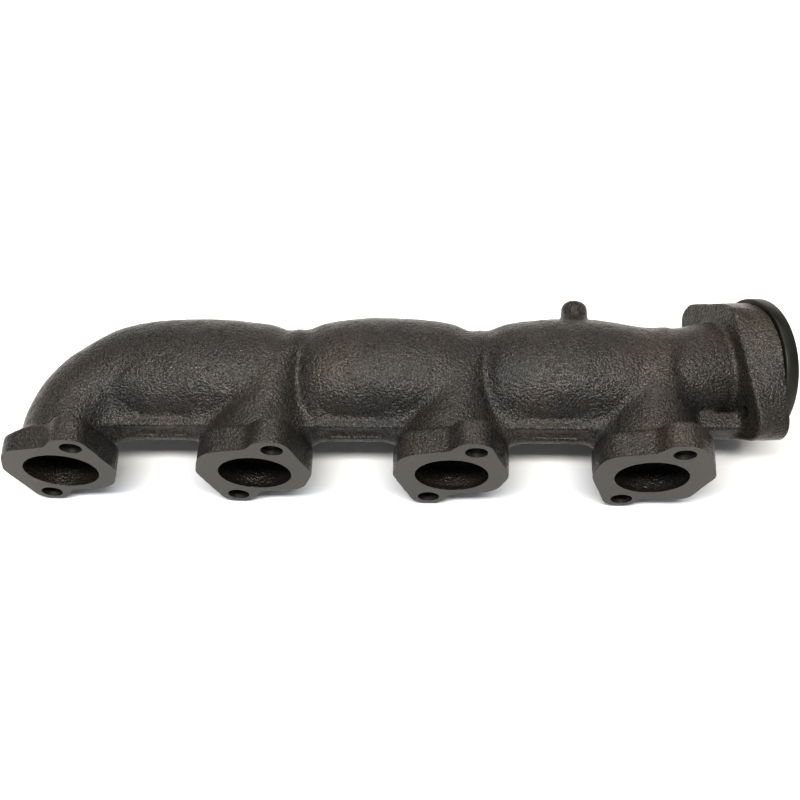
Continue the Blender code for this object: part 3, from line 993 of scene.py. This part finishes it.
class Shader:
    """Small helper that adds nodes to one material and links them."""

    def __init__(self, name, roughness, metallic):
        self.material = bpy.data.materials.new(name)
        self.material.use_nodes = True
        self.tree = self.material.node_tree
        self.bsdf = self.tree.nodes["Principled BSDF"]
        self.bsdf.inputs["Roughness"].default_value = roughness
        self.bsdf.inputs["Metallic"].default_value = metallic
        self.place = self.add("ShaderNodeTexCoord").outputs["Object"]

    def add(self, kind, **settings):
        node = self.tree.nodes.new(kind)
        for key, value in settings.items():
            setattr(node, key, value)
        return node

    def link(self, source, target):
        self.tree.links.new(source, target)

    def noise(self, scale, detail=3.0, roughness=0.55, distortion=0.0):
        node = self.add("ShaderNodeTexNoise")
        node.inputs["Scale"].default_value = scale
        node.inputs["Detail"].default_value = detail
        node.inputs["Roughness"].default_value = roughness
        node.inputs["Distortion"].default_value = distortion
        self.link(self.place, node.inputs["Vector"])
        return node.outputs["Fac"]

    def cells(self, scale):
        node = self.add("ShaderNodeTexVoronoi", feature="SMOOTH_F1")
        node.inputs["Scale"].default_value = scale
        node.inputs["Smoothness"].default_value = 0.6
        self.link(self.place, node.inputs["Vector"])
        return node.outputs["Distance"]

    def range(self, value, low, high, to_low, to_high):
        node = self.add("ShaderNodeMapRange")
        for name, number in (
            ("From Min", low),
            ("From Max", high),
            ("To Min", to_low),
            ("To Max", to_high),
        ):
            node.inputs[name].default_value = number
        self.link(value, node.inputs["Value"])
        return node.outputs["Result"]

    def math(self, operation, a, b):
        node = self.add("ShaderNodeMath", operation=operation)
        for socket, value in zip(node.inputs, (a, b)):
            if isinstance(value, (int, float)):
                socket.default_value = value
            else:
                self.link(value, socket)
        return node.outputs["Value"]

    def ramp(self, value, stops):
        node = self.add("ShaderNodeValToRGB")
        elements = node.color_ramp.elements
        while len(elements) < len(stops):
            elements.new(0.5)
        for element, (position, colour) in zip(elements, stops):
            element.position = position
            element.color = (*colour, 1.0)
        self.link(value, node.inputs["Fac"])
        return node.outputs["Color"]

    def mix(self, factor, under, colour):
        """The colour socket under, mixed with a plain colour by factor."""
        node = self.add("ShaderNodeMix", data_type="RGBA")
        self.link(factor, node.inputs[0])
        self.link(under, node.inputs[6])
        node.inputs[7].default_value = (*colour, 1.0)
        return node.outputs[2]

    def bump(self, height, strength, distance, under=None):
        node = self.add("ShaderNodeBump")
        node.inputs["Strength"].default_value = strength
        node.inputs["Distance"].default_value = distance
        self.link(height, node.inputs["Height"])
        if under is not None:
            self.link(under, node.inputs["Normal"])
        return node.outputs["Normal"]


def cast_skin(name="cast_skin", shade=1.0):
    """Sand-cast iron under a thin oil film: sharp grain of about 1 mm over fine grit, brown and grey."""

    # shade below 1 darkens every colour: painted shade, used for the inside of the bores.
    def tone(*colour):
        return tuple(value * shade for value in colour)

    s = Shader(name, 0.30, 0.08)
    s.bsdf.inputs["Specular IOR Level"].default_value = 0.34
    grain = s.noise(900, 1.5, 0.5, 0.2)
    pebble = s.cells(640)
    grit = s.noise(2300, 1.0, 0.5)
    patch = s.noise(24, 3.0, 0.55)
    cloud = s.noise(80, 3.0, 0.6)
    browns = [
        (0.34, tone(0.022, 0.021, 0.020)),
        (0.50, tone(0.036, 0.031, 0.025)),
        (0.66, tone(0.054, 0.043, 0.032)),
    ]
    base = s.ramp(patch, browns)
    grey = s.mix(s.range(cloud, 0.35, 0.7, 0.0, 0.5), base, tone(0.028, 0.029, 0.031))
    pits = s.mix(s.range(grain, 0.32, 0.50, 0.8, 0.0), grey, tone(0.008, 0.008, 0.008))
    colour = s.mix(s.range(grit, 0.57, 0.66, 0.0, 0.6), pits, tone(0.16, 0.15, 0.135))
    s.link(colour, s.bsdf.inputs["Base Color"])
    s.link(s.range(cloud, 0.3, 0.7, 0.22, 0.34), s.bsdf.inputs["Roughness"])
    coarse = s.bump(s.math("SUBTRACT", grain, s.math("MULTIPLY", pebble, 0.6)), 0.60, 0.0010)
    fine = s.bump(grit, 0.45, 0.00030, coarse)
    s.link(fine, s.bsdf.inputs["Normal"])
    return s.material


def passage_painted_shade():
    """The same skin, darker, for the inside of the port bores: a shaded copy of the skin, painted shade.
    """
    return cast_skin("passage_painted_shade", 0.62)


def milled_face():
    """Face-milled iron: warm grey, with faint cutter marks and stains."""
    s = Shader("milled_face", 0.36, 0.75)
    stain = s.noise(70, 4.0, 0.6)
    blot = s.noise(420, 3.0, 0.6)
    greys = [(0.30, (0.054, 0.051, 0.044)), (0.52, (0.074, 0.069, 0.059)), (0.74, (0.096, 0.088, 0.075))]
    colour = s.ramp(stain, greys)
    colour = s.mix(s.range(blot, 0.60, 0.75, 0.0, 0.5), colour, (0.07, 0.066, 0.058))
    s.link(colour, s.bsdf.inputs["Base Color"])
    s.link(s.range(stain, 0.3, 0.7, 0.32, 0.46), s.bsdf.inputs["Roughness"])
    marks = s.add("ShaderNodeTexWave", wave_type="RINGS", rings_direction="Y")
    marks.inputs["Scale"].default_value = 420
    marks.inputs["Distortion"].default_value = 1.5
    marks.inputs["Detail"].default_value = 1.0
    s.link(s.place, marks.inputs["Vector"])
    first = s.bump(marks.outputs["Fac"], 0.16, 0.00010)
    s.link(s.bump(blot, 0.25, 0.00010, first), s.bsdf.inputs["Normal"])
    return s.material


def drilled_wall():
    s = Shader("drilled_wall", 0.42, 0.7)
    wear = s.noise(300, 3.0)
    colour = s.ramp(wear, [(0.3, (0.05, 0.048, 0.044)), (0.7, (0.11, 0.105, 0.095))])
    s.link(colour, s.bsdf.inputs["Base Color"])
    s.link(s.bump(wear, 0.3, 0.0002), s.bsdf.inputs["Normal"])
    return s.material


def turned_metal():
    """Smooth turned iron with a faint green-grey oil film."""
    s = Shader("turned_metal", 0.40, 0.7)
    film = s.noise(45, 4.0, 0.55)
    fine = s.noise(900, 3.0, 0.6)
    greys = [(0.32, (0.036, 0.037, 0.031)), (0.52, (0.056, 0.056, 0.047)), (0.72, (0.078, 0.076, 0.065))]
    colour = s.ramp(film, greys)
    colour = s.mix(s.range(fine, 0.58, 0.75, 0.0, 0.35), colour, (0.05, 0.05, 0.045))
    s.link(colour, s.bsdf.inputs["Base Color"])
    s.link(s.range(film, 0.3, 0.7, 0.34, 0.5), s.bsdf.inputs["Roughness"])
    s.link(s.bump(fine, 0.3, 0.00015), s.bsdf.inputs["Normal"])
    return s.material


def floor_material():
    s = Shader("floor", 0.85, 0.0)
    s.bsdf.inputs["Base Color"].default_value = (0.86, 0.86, 0.85, 1)
    return s.material


# ---------------------------------------------------------------------------------------------
# Stage, lights and camera
# ---------------------------------------------------------------------------------------------


def stage():
    bm = bmesh.new()
    bmesh.ops.create_grid(bm, x_segments=1, y_segments=1, size=FLOOR_HALF_SIZE)
    floor = add_object("floor", mesh_from_bmesh("floor", bm))
    floor.location.z = cad_box[0][2]
    floor.data.materials.append(floor_material())


def area_light(name, place, size, power, colour):
    data = bpy.data.lights.new(name, "AREA")
    data.shape = "RECTANGLE"
    data.size, data.size_y = size
    data.energy = power
    data.color = colour
    item = add_object(name, data)
    item.location = place
    item.rotation_euler = (Vector(LIGHT_AIM) - Vector(place)).to_track_quat("-Z", "Y").to_euler()


def lights():
    """A long key strip above, a warm light behind, a weak bluish one on the left and a white world."""
    area_light("key", (0.0, -0.40, 1.62), (1.5, 0.22), 27, (1.0, 0.99, 0.97))
    area_light("back", (0.0, 0.85, 1.35), (1.6, 0.9), 10, (1.0, 0.90, 0.80))
    area_light("side", (-1.15, -0.75, 0.95), (0.3, 0.3), 2.0, (0.45, 0.60, 1.0))
    world = bpy.data.worlds.new("studio")
    world.use_nodes = True
    background = world.node_tree.nodes["Background"]
    background.inputs["Color"].default_value = (0.97, 0.98, 1.0, 1)
    background.inputs["Strength"].default_value = 0.30
    bpy.context.scene.world = world
    bpy.context.scene.view_settings.view_transform = "Standard"
    bpy.context.scene.view_settings.look = "High Contrast"


def camera():
    data = bpy.data.cameras.new("camera")
    data.lens = CAMERA_LENS
    data.sensor_width = CAMERA_SENSOR_WIDTH
    item = add_object("camera", data)
    item.location = PORT_FRAME + Vector(CAMERA_PLACE) * MM
    item.rotation_euler = [math.radians(angle) for angle in CAMERA_ANGLES]
    bpy.context.scene.camera = item


def main():
    stage()
    lights()
    camera()
    casting()
    ring()


main()
